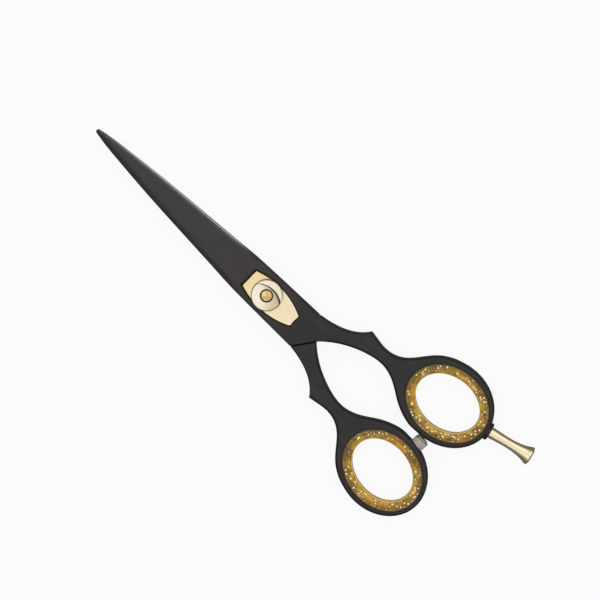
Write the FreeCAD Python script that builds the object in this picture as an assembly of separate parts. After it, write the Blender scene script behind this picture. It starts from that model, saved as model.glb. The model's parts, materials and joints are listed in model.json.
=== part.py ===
"""Hair cutting shears: two black coated halves on an adjustable pivot, with ring inserts and a finger rest.

Millimetres.  The origin is on the pivot axis, on the surface that the closed shears lie on.
+X runs towards the finger rings, -X to the blade tips, +Y to the finger ring and +Z up to the tension dial.
The finger half lies on top; the thumb half is the same shape turned over about the X direction.
"""
import FreeCAD
import Part
import math
import os

Vec = FreeCAD.Vector

# ---- The two halves ------------------------------------------------------------------------------------
blade_length = 67.35          # pivot axis to tip
blade_half_width = 5.9        # half of the closed width beside the pivot
tip_radius = 0.62             # rounding of the points in plan
blade_heel = 8.0              # the ground blade ends this far from the pivot axis
edge_inset = 0.42             # the cutting edge lies this far inside the other half's spine
half_thickness = 2.75         # handle: above and below the plane between the blades; blade: at the pivot
tip_thickness = 1.2           # blade at its tip
blade_gap = 0.05              # running gap between the inner faces
grind_land = 0.3              # height of the flank left above the inner face along the cutting edge
grind_bevel = 0.5             # width of the steep bevel behind the cutting edge
grind_drop = 0.85             # how far the outer face falls from ridge to bevel, at its most
hollow_depth = 0.09           # hollow grind of the inner face
crotch_x = 19.3               # where the two handles part
shoulder_x = 14.85            # where the step between the halves leaves the outer edge
step_gap = 0.22               # clearance of the step between the halves
spur_x = 28.95                # pointed spur on the outer edge of each handle
spur_y = 12.95
waist_x = 35.6                # narrowest place of the handle, behind the spur
waist_y = 12.12
bow_x = 37.65                 # widest place of the gap between the handles
bow_y = 8.39
handle_round = 0.9            # edge rounding of handles and rings
edge_round = 0.45             # edge rounding of blades and shoulders

# ---- Finger rings and their inserts --------------------------------------------------------------------
ring_x = 58.4                 # centre of each ring
ring_standoff = 1.35          # side of each ring to the middle plane between the handles
ring_tilt = 5.6               # degrees, long axis turned outwards at its far end
opening_length = 20.0         # clear opening inside the insert
opening_width = 15.0
insert_wall = 3.05            # insert, from the opening to the outside of its flange
insert_proud = 0.25           # flange above the face of the ring
flange_seat = 0.8             # depth of the rebate that takes the flange
flange_lip = 1.15             # width of the rebate beyond the ring's bore
ring_end_wall = 1.05          # metal outside the flange, at the far end of the ring
ring_side_wall = 1.45         # metal outside the flange, at the sides
insert_fit = 0.02             # clearance of the insert in the ring
insert_round = 1.05           # rounding of the insert towards the opening
flange_round = 0.4            # rounding of the flange's outer edge

# ---- Pivot stack ---------------------------------------------------------------------------------------
stud_radius = 2.0
stud_across_flats = 3.2       # two flats key the stud to the finger half
stud_head_radius = 3.4
stud_head_height = 1.05
stud_head_chamfer = 0.2
stud_head_gap = 0.2           # round the head, in the thumb half's counterbore
stud_thread_radius = 1.25
running_clearance = 0.04      # radial clearance of everything that turns
thrust_washer_thickness = 0.2
bush_wall = 0.7               # wall of the plastic bush in the thumb half
blade_washer_radius = 4.3
blade_washer_thickness = 0.25
pocket_depth = 0.6            # recess of the finger half that holds the spring plate
pocket_gap = 0.35             # clearance beside the spring plate
pocket_end_gap = 0.75         # clearance at its tip side end
plate_hole_gap = 0.2          # hole of the spring plate round the stud
plate_left = 6.85             # spring plate: tip side end to the pivot axis
plate_right = 10.85           # spring plate: ring side end to the pivot axis
plate_left_half = 2.8         # half widths of the plate at its tip side end, belly and ring side end
plate_belly_half = 4.15
plate_right_half = 1.75
plate_belly_x = 1.4
plate_thickness = 0.5
plate_bow = 0.14              # rise of the plate between its ends
plate_end_hollow = 0.22       # hollow of the plate's ring side end

# ---- Tension dial --------------------------------------------------------------------------------------
dial_radius = 4.5
dial_height = 2.1             # rim of the dial
dial_crown = 0.2              # doming of its top
dial_lift_gap = 0.18          # dial above the plate, which leaves room to tighten it
dial_edge_round = 0.22
dial_travel = 0.3             # how far the dial can rise below the keeper's head
dial_washer_radius = 3.3
dial_washer_thickness = 0.2
dial_washer_gap = 0.05        # above and below the washer, and round it
scoop_radius = 6.2            # arc that bounds the thumb scoop
scoop_offset = 3.9            # centre of that arc from the pivot axis, towards -Y
scoop_shallow = 0.12          # depth of the scoop at its tip side end, below the rim
scoop_deep = 0.9              # depth of the scoop at its ring side end
keeper_head_radius = 1.45     # domed pin that keeps the dial on the stud
keeper_head_height = 0.4
keeper_dome = 0.22
keeper_shank_radius = 0.6
keeper_shank_length = 1.2
keeper_well_radius = 1.85     # well in the dial round the keeper's head

# ---- Finger rest and ring bumper -----------------------------------------------------------------------
rest_angle = 13.1             # degrees, finger rest turned outwards from +X
boss_stand = 0.47             # face of the boss beyond the end of the ring
boss_side = 2.32              # boss, outwards from the ring's centre
rest_length = 13.2
rest_base_radius = 1.6
rest_waist_radius = 1.38
rest_flare_radius = 2.8
rest_cap_dome = 0.35
rest_edge_round = 0.18
rest_spigot_radius = 1.2
rest_spigot_length = 1.9
rest_hole_spare = 0.15        # the boss's hole is this much deeper than the spigot
boss_radius = 2.62
boss_chamfer = 0.2
bumper_angle = -85            # degrees round the ring, where the bumper meets it
bumper_tilt = 5.0             # degrees, bumper leaning towards the ring end
bumper_radius = 2.1
bumper_plug_radius = 1.0
bumper_plug_length = 1.4      # plug, into the side wall of the thumb ring
bumper_gap = 0.06             # from the bumper to the finger ring, when closed
bumper_round = 0.9

# ---- Heights that follow -------------------------------------------------------------------------------
mid_z = half_thickness + insert_proud
top_z = mid_z + half_thickness
inner_z = mid_z + blade_gap / 2
pocket_z = top_z - pocket_depth
dial_z = pocket_z + plate_thickness + plate_bow + dial_lift_gap
dial_washer_z = dial_z + dial_washer_gap
dial_top_z = dial_z + dial_height
keeper_z = dial_top_z - keeper_head_height
well_z = keeper_z - dial_travel
stud_key_z = dial_washer_z + dial_washer_thickness + dial_travel
stud_seat_z = stud_head_height + thrust_washer_thickness
thumb_inner_z = mid_z - blade_gap / 2
bush_top_z = thumb_inner_z - blade_washer_thickness + blade_gap

flange_length = opening_length / 2 + insert_wall
flange_width = opening_width / 2 + insert_wall
outer_ring_length = flange_length + ring_end_wall
outer_ring_width = flange_width + ring_side_wall
ring_y = ring_standoff + outer_ring_width
bore_length = flange_length - flange_lip
bore_width = flange_width - flange_lip
ring_centre = Vec(ring_x, ring_y, 0)
rest_axis = Vec(math.cos(math.radians(rest_angle)), math.sin(math.radians(rest_angle)), 0)
rest_seat = Vec(ring_x + outer_ring_length + boss_stand, ring_y + boss_side, mid_z)
Z_AXIS = Vec(0, 0, 1)
join_tolerance = 0.001        # for the common shape of two nearly equal solids

# Plan shape of a blade: distance from the tip and half width, as shares of the blade's length and half width.
blade_shape = ((0.037, 0.170), (0.148, 0.340), (0.371, 0.587), (0.594, 0.768), (0.800, 0.915))


# ---- Small helpers -------------------------------------------------------------------------------------
def curve(points, start=None, end=None):
    """Smooth edge through points in plan, with end directions where given."""
    spline = Part.BSplineCurve()
    places = [Vec(x, y, 0) for x, y in points]
    if start is None and end is None:
        spline.interpolate(places)
        return spline.toShape()
    tangents = [Vec(0, 0, 0)] * len(places)
    flags = [False] * len(places)
    if start is not None:
        tangents[0] = start
        flags[0] = True
    if end is not None:
        tangents[-1] = end
        flags[-1] = True
    spline.interpolate(Points=places, Tangents=tangents, TangentFlags=flags)
    return spline.toShape()


def line(a, b):
    return Part.LineSegment(Vec(a[0], a[1], 0), Vec(b[0], b[1], 0)).toShape()


def arc(a, b, c):
    return Part.Arc(Vec(a[0], a[1], 0), Vec(b[0], b[1], 0), Vec(c[0], c[1], 0)).toShape()


def prism(edges, low, high):
    """Solid over a closed outline in plan, from one height to another."""
    face = Part.Face(Part.Wire(Part.__sortEdges__(edges)))
    face.translate(Vec(0, 0, low))
    return face.extrude(Vec(0, 0, high - low))


def disc(radius, low, high):
    return Part.makeCylinder(radius, high - low, Vec(0, 0, low))


def ring_ellipse(length, width):
    """Closed elliptic edge about the ring's centre."""
    tilt = math.radians(ring_tilt)
    along = Vec(math.cos(tilt), math.sin(tilt), 0)
    across = Vec(-math.sin(tilt), math.cos(tilt), 0)
    return Part.Ellipse(ring_centre + along * length, ring_centre + across * width, ring_centre)


def ring_prism(length, width, low, high):
    return prism([ring_ellipse(length, width).toShape()], low, high)


def double_d(radius, across, low, high):
    """Round bar or bore with two flats that face +Y and -Y."""
    flats = Part.makeBox(4 * radius, across, high - low, Vec(-2 * radius, -across / 2, low))
    return disc(radius, low, high).common(flats)


def rod(radius, start, axis, length):
    return Part.makeCylinder(radius, length, start, axis)


def over_outline(solid, outline):
    """The upper and lower edges of a prism that stand over some edges of its outline."""
    boxes = [edge.BoundBox for edge in outline]
    found = []
    for edge in solid.Edges:
        box = edge.BoundBox
        along = max(box.XLength, box.YLength)
        if along > 0.01 and any(abs(box.XMin - b.XMin) + abs(box.XMax - b.XMax) < 0.05 for b in boxes):
            found.append(edge)
    return found


def rims(solid, z, low_radius=0.0, high_radius=1e9):
    """Closed edges of a solid at one height, whose size in X lies between two radii."""
    return [e for e in solid.Edges if abs(e.BoundBox.ZMin - z) < 1e-4 and e.BoundBox.ZLength < 1e-3
            and low_radius < e.BoundBox.XLength / 2 < high_radius]


def turned_over(shape):
    """The same shape in the other half: turned by half a turn about the X direction."""
    other = shape.copy()
    other.rotate(Vec(0, 0, mid_z), Vec(1, 0, 0), 180)
    return other


# ---- Outlines of a half --------------------------------------------------------------------------------
heel_share = 1 - blade_heel / blade_length
heel_half = 0.95 * blade_half_width
shoulder_y = blade_half_width + 0.13


def ring_point(degrees, standoff=0.0):
    """Point on the ring's outer ellipse, or a little outside it."""
    t = math.radians(degrees)
    tilt = math.radians(ring_tilt)
    along = (outer_ring_length + standoff) * math.cos(t)
    across = (outer_ring_width + standoff) * math.sin(t)
    x = ring_x + along * math.cos(tilt) - across * math.sin(tilt)
    y = ring_y + along * math.sin(tilt) + across * math.cos(tilt)
    return (x, y)


def ring_direction(degrees):
    """Direction of the ring's outer ellipse at a point, anticlockwise."""
    ahead = ring_point(degrees + 0.5)
    behind = ring_point(degrees - 0.5)
    return Vec(ahead[0] - behind[0], ahead[1] - behind[1], 0).normalize()


def blade_point(share, width, inset=0.0):
    return (-blade_length + share * blade_length, width * blade_half_width - inset)


def inset_at(share):
    """Inset of the cutting edge: none at the tip and at the heel, full between."""
    return edge_inset * max(0.0, min(1.0, share / 0.2, (heel_share - share) / 0.2))


def mirrored(points):
    return [(x, -y) for x, y in points]


def tip_corner():
    return (-blade_length + 0.9 * tip_radius, tip_radius)


def outer_edge():
    """Cutting edge from the tip to the heel, and on past the pivot to the spur."""
    edge = [tip_corner()] + [blade_point(s, w, inset_at(s)) for s, w in blade_shape]
    pivot = [(-blade_heel, heel_half), (0.3 * shoulder_x, 0.995 * blade_half_width), (shoulder_x, shoulder_y)]
    flare = [(spur_x - 8.8, spur_y - 5.88), (spur_x - 3.8, spur_y - 3.71), (spur_x, spur_y)]
    return curve(edge + pivot + flare)


def handle_edges():
    """Spur to ring, round the ring, and back along the inner side to the crotch."""
    leave = 100
    back = -97
    outer = curve([(spur_x, spur_y), (spur_x + 3.0, spur_y - 0.5), (waist_x, waist_y),
                   (waist_x + 4.55, waist_y + 1.45), ring_point(147.9, 0.85), ring_point(132.7, 0.5),
                   ring_point(120.4, 0.28), ring_point(leave)], end=ring_direction(leave) * -1)
    ellipse = ring_ellipse(outer_ring_length, outer_ring_width)
    rim = Part.ArcOfEllipse(ellipse, math.radians(back), math.radians(leave)).toShape()
    leaving = [ring_point(back), ring_point(-107.8, 0.3), ring_point(-118.1, 0.46), ring_point(-139.9, 1.05)]
    bow = [(bow_x + 5.0, bow_y - 1.43), (bow_x, bow_y), (bow_x - 5.0, bow_y - 0.67), (bow_x - 10.0, bow_y - 2.52)]
    crotch = [(crotch_x + 3.35, 2.92), (crotch_x, 0.0)]
    inner = curve(leaving + bow + crotch, start=ring_direction(back) * -1)
    return [outer, rim, inner]


def tip_edge():
    x, y = tip_corner()
    return arc((x, y), (-blade_length, 0), (x, -y))


def blade_edges():
    """Spine from tip to shoulder, step back to the crotch, and outer edge from tip to spur."""
    corner = tip_corner()
    spine = [corner] + [blade_point(s, w) for s, w in blade_shape]
    spine += [(-blade_heel, heel_half), (0.3 * shoulder_x, 0.995 * blade_half_width), (shoulder_x, shoulder_y)]
    return [curve(mirrored(spine)), line((shoulder_x, -shoulder_y), (crotch_x, 0)), outer_edge()]


def beyond_step(gap, low, high):
    """Block on the ring side of the step in the +Y half of the plan, at a clearance."""
    run = Vec(shoulder_x - crotch_x, shoulder_y, 0).normalize()
    shift = Vec(run.y, -run.x, 0) * gap
    start = Vec(crotch_x, 0, 0) - run * 20 + shift
    stop = Vec(crotch_x, 0, 0) + run * 40 + shift
    far = ring_x + 2 * outer_ring_length
    corners = [(start.x, start.y), (far, start.y), (far, stop.y), (stop.x, stop.y)]
    return prism([line(corners[i], corners[i - 3]) for i in range(4)], low, high)


# ---- Grinding of a blade -------------------------------------------------------------------------------
def blade_top(share):
    """Height of the blade's outer face at a share of its length from the tip."""
    return mid_z + tip_thickness + (half_thickness - tip_thickness) * min(1.0, share / heel_share)


def taper_cut():
    """What is ground off the outer face, so that the blade thins towards its tip."""
    over = top_z + 2
    points = [Vec(-blade_length - 2, -2 * blade_half_width, z) for z in (blade_top(0), over)]
    heel = [Vec(-blade_heel, -2 * blade_half_width, z) for z in (over, top_z)]
    wire = Part.makePolygon(points + heel + [points[0]])
    return Part.Face(wire).extrude(Vec(0, 4 * blade_half_width, 0))


def grind_section(share, width):
    """Triangle-like section of the grind: a falling outer face, then the steep bevel behind the edge."""
    x, edge_y = blade_point(share, width, inset_at(share))
    top = blade_top(share)
    bevel = min(grind_bevel, 0.45 * edge_y)
    drop = grind_drop * max(0.0, min(1.0, 0.45 + share, (heel_share - share) / 0.25))
    if drop == 0.0:
        heights = [top + 0.05] * 3
    else:
        land_z = inner_z + grind_land
        fall = (top - drop - land_z) / bevel
        heights = [top, top - drop, land_z - 0.6 * fall]
    sides = [-0.45 * edge_y, edge_y - bevel, edge_y + 0.6]
    points = [Vec(x, y, z) for y, z in zip(sides, heights)]
    points += [Vec(x, sides[2], top + 2), Vec(x, sides[0], top + 2)]
    return Part.makePolygon(points + [points[0]])


def edge_grind():
    stations = [(-0.02, 0.11)] + list(blade_shape) + [(heel_share, heel_half / blade_half_width)]
    return Part.makeLoft([grind_section(s, w) for s, w in stations], True, False)


def hollow_grind():
    """Large cylinder that hollows the inner face, deepest near the pivot and nothing at the tip."""
    radius = blade_half_width ** 2 * 0.46 / (2 * hollow_depth)
    start = Vec(-1.5 * blade_heel, 0.3, inner_z + hollow_depth - radius)
    tip = Vec(-0.93 * blade_length, 0.1, inner_z - radius)
    return Part.makeCylinder(radius, (tip - start).Length, start, tip - start)


# ---- The two halves ------------------------------------------------------------------------------------
def heel_edges(solid):
    """Upper edges that start or stop at the blade's heel, where the taper begins."""
    found = []
    for edge in solid.Edges:
        box = edge.BoundBox
        near = min(abs(box.XMax + blade_heel), abs(box.XMin + blade_heel))
        if box.ZMin > mid_z and near < 0.2 and min(box.XLength, box.YLength) > 0.01:
            found.append(edge)
    return found


def half_blank():
    """One half with its edges rounded and its blade ground, before its own holes."""
    low_z = mid_z - half_thickness
    blade = blade_edges()
    handle = handle_edges()
    tapered = prism([tip_edge()] + blade + handle, low_z, top_z).cut(taper_cut())
    soft = tapered.makeFillet(edge_round, heel_edges(tapered) + over_outline(tapered, blade + handle))
    soft = soft.common([tapered.makeFillet(handle_round, over_outline(tapered, handle))], join_tolerance)
    room = Part.makeBox(2 * ring_x + blade_length, 4 * ring_y, half_thickness + blade_gap / 2 + 1,
                        Vec(-blade_length - 1, -2 * ring_y, low_z - 1))
    soft = soft.cut(room.cut(beyond_step(step_gap, low_z - 2, inner_z + 1)))
    return soft.cut(edge_grind()).cut(hollow_grind())


def ring_holes():
    """Bore of a ring with the two rebates for the insert's flanges."""
    low_z = mid_z - half_thickness
    holes = ring_prism(bore_length, bore_width, low_z - 1, top_z + 1)
    for low, high in ((low_z - 1, low_z + flange_seat), (top_z - flange_seat, top_z + 1)):
        holes = holes.fuse(ring_prism(flange_length + insert_fit, flange_width + insert_fit, low, high))
    return holes


def barrel_edges(left, left_half, belly_half, right, right_half):
    """Outline of the spring plate or its pocket: straight end, bellied sides, hollow end."""
    side = arc((-left, left_half), (plate_belly_x, belly_half), (right, right_half))
    other = arc((-left, -left_half), (plate_belly_x, -belly_half), (right, -right_half))
    return [side, other, line((-left, left_half), (-left, -left_half)),
            arc((right, right_half), (right - plate_end_hollow, 0), (right, -right_half))]


def pocket():
    outline = barrel_edges(plate_left + pocket_end_gap, plate_left_half + pocket_gap,
                           plate_belly_half + pocket_gap, plate_right + pocket_gap,
                           plate_right_half + 0.7 * pocket_gap)
    return prism(outline, pocket_z, top_z + 1)


def finger_blade(blank):
    """The upper half, with the pocket, the keyed bore and the boss of the finger rest."""
    back = rest_seat - rest_axis * 2.5 * boss_radius
    boss = rod(boss_radius, back, rest_axis, 2.5 * boss_radius)
    face = [e for e in boss.Edges if (e.BoundBox.Center - rest_seat).Length < 0.1]
    depth = rest_spigot_length + rest_hole_spare
    hole = rod(rest_spigot_radius + running_clearance, rest_seat - rest_axis * depth, rest_axis, depth + 1)
    key = double_d(stud_radius + running_clearance, stud_across_flats + 2 * running_clearance, inner_z - 1, top_z)
    return blank.fuse(boss.makeChamfer(boss_chamfer, face)).cut(ring_holes()).cut(hole).cut(pocket()).cut(key)


def thumb_blade(blank):
    """The lower half, with the counterbore of the stud's head and seats for bush, washer and bumper."""
    low_z = mid_z - half_thickness
    half = turned_over(blank.cut(ring_holes()))
    half = half.cut(disc(stud_head_radius + stud_head_gap, low_z - 1, stud_seat_z))
    half = half.cut(disc(stud_radius + running_clearance + bush_wall, low_z, thumb_inner_z + 1))
    half = half.cut(disc(blade_washer_radius + running_clearance, bush_top_z, thumb_inner_z + 1))
    foot, axis = bumper_place()
    return half.cut(rod(bumper_plug_radius, foot - axis * bumper_plug_length, axis, bumper_plug_length + 1))


def ring_insert():
    """Soft insert of the finger ring: a sleeve with a flange on each face, rounded towards the opening."""
    low_z = mid_z - half_thickness
    length, width = bore_length - insert_fit, bore_width - insert_fit
    low, high = low_z - insert_proud, top_z + insert_proud
    sleeve = ring_prism(length, width, low, high)
    for z0, z1 in ((low, low_z + flange_seat), (top_z - flange_seat, high)):
        sleeve = sleeve.fuse(ring_prism(flange_length, flange_width, z0, z1))
    sleeve = sleeve.cut(ring_prism(opening_length / 2, opening_width / 2, low - 1, high + 1)).removeSplitter()
    outer = rims(sleeve, low, bore_length) + rims(sleeve, high, bore_length)
    inner = rims(sleeve, low, 0, bore_length) + rims(sleeve, high, 0, bore_length)
    return sleeve.makeFillet(flange_round, outer).makeFillet(insert_round, inner)


# ---- Pivot stack ---------------------------------------------------------------------------------------
def pivot_stud():
    """Flat head, round shank in the bush, keyed shank in the finger half, and thread end for the dial."""
    head = disc(stud_head_radius, 0, stud_head_height)
    head = head.makeChamfer(stud_head_chamfer, rims(head, 0))
    shank = disc(stud_radius, 0, inner_z)
    keyed = double_d(stud_radius, stud_across_flats, inner_z, stud_key_z)
    thread = disc(stud_thread_radius, stud_key_z, keeper_z)
    stud = head.fuse([shank, keyed, thread]).removeSplitter()
    return stud.cut(disc(keeper_shank_radius, keeper_z - keeper_shank_length - 0.1, keeper_z + 1))


def washer(inner, outer, low, thickness):
    return disc(outer, low, low + thickness).cut(disc(inner, low - 1, low + thickness + 1))


def thrust_washer():
    return washer(stud_radius + running_clearance, stud_head_radius, stud_head_height, thrust_washer_thickness)


def pivot_bush():
    inner = stud_radius + running_clearance
    return washer(inner, inner + bush_wall, stud_seat_z, bush_top_z - stud_seat_z)


def blade_washer():
    return washer(stud_radius + running_clearance, blade_washer_radius, bush_top_z, blade_washer_thickness)


def spring_plate():
    """Bowed leaf that lies in the pocket on its two ends, under the dial."""
    left, right, high = -plate_left, plate_right, pocket_z + plate_bow
    middle = (left + right) / 2
    lower = [Vec(left, 0, pocket_z), Vec(middle, 0, high), Vec(right, 0, pocket_z)]
    upper = [p + Vec(0, 0, plate_thickness) for p in lower]
    edges = [Part.Arc(*lower).toShape(), Part.Arc(*upper).toShape(),
             Part.LineSegment(lower[0], upper[0]).toShape(), Part.LineSegment(lower[2], upper[2]).toShape()]
    leaf = Part.Face(Part.Wire(Part.__sortEdges__(edges)))
    leaf.translate(Vec(0, -2 * plate_belly_half, 0))
    leaf = leaf.extrude(Vec(0, 4 * plate_belly_half, 0))
    outline = barrel_edges(plate_left, plate_left_half, plate_belly_half, plate_right, plate_right_half)
    leaf = leaf.common(prism(outline, pocket_z - 1, top_z + 1))
    return leaf.cut(disc(stud_radius + plate_hole_gap, pocket_z - 1, top_z + 1))


# ---- Tension dial --------------------------------------------------------------------------------------
def dial_washer():
    """Washer between dial and plate; its flats keep the blades from turning the dial."""
    low, high = dial_washer_z, dial_washer_z + dial_washer_thickness
    key = double_d(stud_radius + running_clearance, stud_across_flats + 2 * running_clearance, low - 1, high + 1)
    return disc(dial_washer_radius, low, high).cut(key)


def thumb_scoop():
    """Crescent beside the middle of the dial, whose floor falls towards the ring side."""
    far = 1.2 * dial_radius
    over = dial_top_z + dial_crown + 1
    points = [Vec(-far, -far, dial_top_z - scoop_shallow), Vec(far, -far, dial_top_z - scoop_deep),
              Vec(far, -far, over), Vec(-far, -far, over)]
    wedge = Part.Face(Part.makePolygon(points + [points[0]])).extrude(Vec(0, 2 * far, 0))
    core = Part.makeCylinder(scoop_radius, over, Vec(0, -scoop_offset, dial_z))
    return wedge.cut(core)


def tension_dial():
    """Crowned nut with a thumb scoop, a well for the keeper, and a recess for its washer."""
    ball = (dial_radius ** 2 + dial_crown ** 2) / (2 * dial_crown)
    blank = disc(dial_radius, dial_z, dial_top_z + dial_crown)
    blank = blank.common(Part.makeSphere(ball, Vec(0, 0, dial_top_z + dial_crown - ball)))
    rim = rims(blank, dial_top_z, 0.9 * dial_radius)
    dial = blank.makeFillet(dial_edge_round, rim).cut(thumb_scoop())
    over = dial_top_z + dial_crown + 1
    washer_top = dial_washer_z + dial_washer_thickness + dial_washer_gap
    dial = dial.cut(disc(dial_washer_radius + dial_washer_gap, dial_z - 1, washer_top))
    dial = dial.cut(disc(stud_radius + 3 * running_clearance, dial_z - 1, stud_key_z + dial_lift_gap))
    dial = dial.cut(disc(stud_thread_radius + running_clearance, dial_z, over))
    return dial.cut(disc(keeper_well_radius, well_z, over))


def dial_keeper():
    """Domed pin, pressed into the end of the stud."""
    ball = (keeper_head_radius ** 2 + keeper_dome ** 2) / (2 * keeper_dome)
    high = keeper_z + keeper_head_height + keeper_dome
    head = disc(keeper_head_radius, keeper_z, high).common(Part.makeSphere(ball, Vec(0, 0, high - ball)))
    return head.fuse(disc(keeper_shank_radius, keeper_z - keeper_shank_length, keeper_z)).removeSplitter()


# ---- Finger rest and bumper ----------------------------------------------------------------------------
def finger_rest():
    """Trumpet shaped rest with a spigot that screws into the ring's boss."""
    side = Part.BSplineCurve()
    side.interpolate([Vec(rest_base_radius, 0, 0), Vec(rest_waist_radius, 0, 0.38 * rest_length),
                      Vec(1.27 * rest_waist_radius, 0, 0.75 * rest_length), Vec(rest_flare_radius, 0, rest_length)])
    rim = Vec(rest_flare_radius, 0, rest_length)
    crown = Vec(0, 0, rest_length + rest_cap_dome)
    over = Vec(0.55 * rest_flare_radius, 0, rest_length + 0.72 * rest_cap_dome)
    corners = [crown, Vec(0, 0, -rest_spigot_length), Vec(rest_spigot_radius, 0, -rest_spigot_length),
               Vec(rest_spigot_radius, 0, 0), Vec(rest_base_radius, 0, 0)]
    edges = [side.toShape(), Part.Arc(rim, over, crown).toShape()]
    edges += [Part.LineSegment(a, b).toShape() for a, b in zip(corners, corners[1:])]
    rest = Part.Face(Part.Wire(Part.__sortEdges__(edges))).revolve(Vec(0, 0, 0), Z_AXIS, 360)
    rest = rest.makeFillet(rest_edge_round, rims(rest, rest_length))
    rest.Placement = FreeCAD.Placement(rest_seat, FreeCAD.Rotation(Z_AXIS, rest_axis))
    return rest


def bumper_place():
    """Foot of the bumper on the thumb ring's edge, and its axis."""
    x, y = ring_point(bumper_angle)
    tilt = math.radians(bumper_tilt)
    axis = Vec(math.sin(tilt), math.cos(tilt), 0)
    return Vec(x, y, mid_z) - axis * (2 * y / axis.y), axis


def bumper_reach(foot, axis):
    """Length of the bumper, which stops short of the finger ring where that comes nearest to its flat end."""
    flat_radius = bumper_radius - bumper_round
    runs = []
    for degrees in range(bumper_angle - 12, bumper_angle + 13):
        way = Vec(*ring_point(degrees), mid_z) - foot
        along = way.dot(axis)
        if (way - axis * along).Length < flat_radius + 0.3:
            runs.append(along)
    return min(runs) - bumper_gap


def ring_bumper(seat):
    """Soft stop between the rings: a rounded stub, cut to the ring's edge, with a plug into it."""
    foot, axis = bumper_place()
    reach = bumper_reach(foot, axis)
    stub = rod(bumper_radius, foot - axis, axis, reach + 1)
    stub = stub.makeFillet(bumper_round, [e for e in stub.Edges if e.BoundBox.YMin > foot.y + 0.5])
    plug = rod(bumper_plug_radius, foot - axis * bumper_plug_length, axis, bumper_plug_length)
    return stub.cut(seat.fuse(rod(bumper_plug_radius, foot - axis * 3, axis, 3))).fuse(plug).removeSplitter()


def main():
    os.makedirs("parts", exist_ok=True)
    blank = half_blank()
    upper = finger_blade(blank)
    lower = thumb_blade(blank)
    insert = ring_insert()
    nodes = {
        "finger_blade": upper,
        "thumb_blade": lower,
        "finger_ring_insert": insert,
        "thumb_ring_insert": turned_over(insert),
        "pivot_stud": pivot_stud(),
        "thrust_washer": thrust_washer(),
        "pivot_bush": pivot_bush(),
        "blade_washer": blade_washer(),
        "spring_plate": spring_plate(),
        "dial_washer": dial_washer(),
        "tension_dial": tension_dial(),
        "dial_keeper": dial_keeper(),
        "finger_rest": finger_rest(),
        "ring_bumper": ring_bumper(lower),
    }
    for name, shape in nodes.items():
        print(name, shape.isValid(), len(shape.Solids), round(shape.Volume, 2))
        shape.exportStep("parts/" + name + ".step")


main()
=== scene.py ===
"""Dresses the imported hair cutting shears: coated halves, gold fittings, glitter inserts, plain studio."""

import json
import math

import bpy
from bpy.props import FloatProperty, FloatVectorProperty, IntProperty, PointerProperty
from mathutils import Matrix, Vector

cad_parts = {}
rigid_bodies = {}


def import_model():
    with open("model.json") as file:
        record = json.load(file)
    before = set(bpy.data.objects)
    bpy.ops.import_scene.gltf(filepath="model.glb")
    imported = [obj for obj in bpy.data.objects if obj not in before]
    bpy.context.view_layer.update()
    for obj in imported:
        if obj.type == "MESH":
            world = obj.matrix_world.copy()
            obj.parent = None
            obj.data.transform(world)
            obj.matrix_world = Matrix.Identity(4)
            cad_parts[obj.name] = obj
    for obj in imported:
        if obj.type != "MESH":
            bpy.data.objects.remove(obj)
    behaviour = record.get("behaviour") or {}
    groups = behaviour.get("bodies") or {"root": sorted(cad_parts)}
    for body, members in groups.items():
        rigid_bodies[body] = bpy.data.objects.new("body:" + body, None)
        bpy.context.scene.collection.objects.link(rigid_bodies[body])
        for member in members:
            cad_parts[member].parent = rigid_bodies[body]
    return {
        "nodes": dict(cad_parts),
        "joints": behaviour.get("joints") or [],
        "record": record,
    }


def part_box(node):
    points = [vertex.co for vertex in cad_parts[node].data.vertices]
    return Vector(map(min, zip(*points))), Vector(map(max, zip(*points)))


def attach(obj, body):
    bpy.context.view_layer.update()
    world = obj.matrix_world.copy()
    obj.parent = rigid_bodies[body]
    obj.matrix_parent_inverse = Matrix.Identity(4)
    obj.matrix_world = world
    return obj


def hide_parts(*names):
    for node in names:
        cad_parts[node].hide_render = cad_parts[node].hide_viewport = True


bl_info = {
    "name": "Hair Shears Dressing",
    "version": (1, 0, 0),
    "blender": (4, 5, 0),
    "location": "View3D > Sidebar > Shears",
    "description": "Gives the packed hair cutting shears their finishes and sets the studio round them",
    "category": "Object",
}

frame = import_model()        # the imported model, which stays where it is

MM = 0.001
PIVOT = next(joint for joint in frame["joints"] if joint["name"] == "blade_pivot")
MID_Z = PIVOT["pos_m"][2]


# ---- What a user would change --------------------------------------------------------------------------
def length(name, default, description):
    return FloatProperty(name=name, description=description, default=default, unit="LENGTH", precision=5)


def angle(name, degrees, description):
    return FloatProperty(name=name, description=description, default=math.radians(degrees), subtype="ANGLE")


def level(name, default, description):
    return FloatProperty(name=name, description=description, default=default)


def steps(name, default, fewest, description):
    return IntProperty(name=name, description=description, default=default, min=fewest)


def colour(name, default, description):
    return FloatVectorProperty(name=name, description=description, default=default, subtype="COLOR",
                               size=3, min=0.0, max=1.0)


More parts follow.
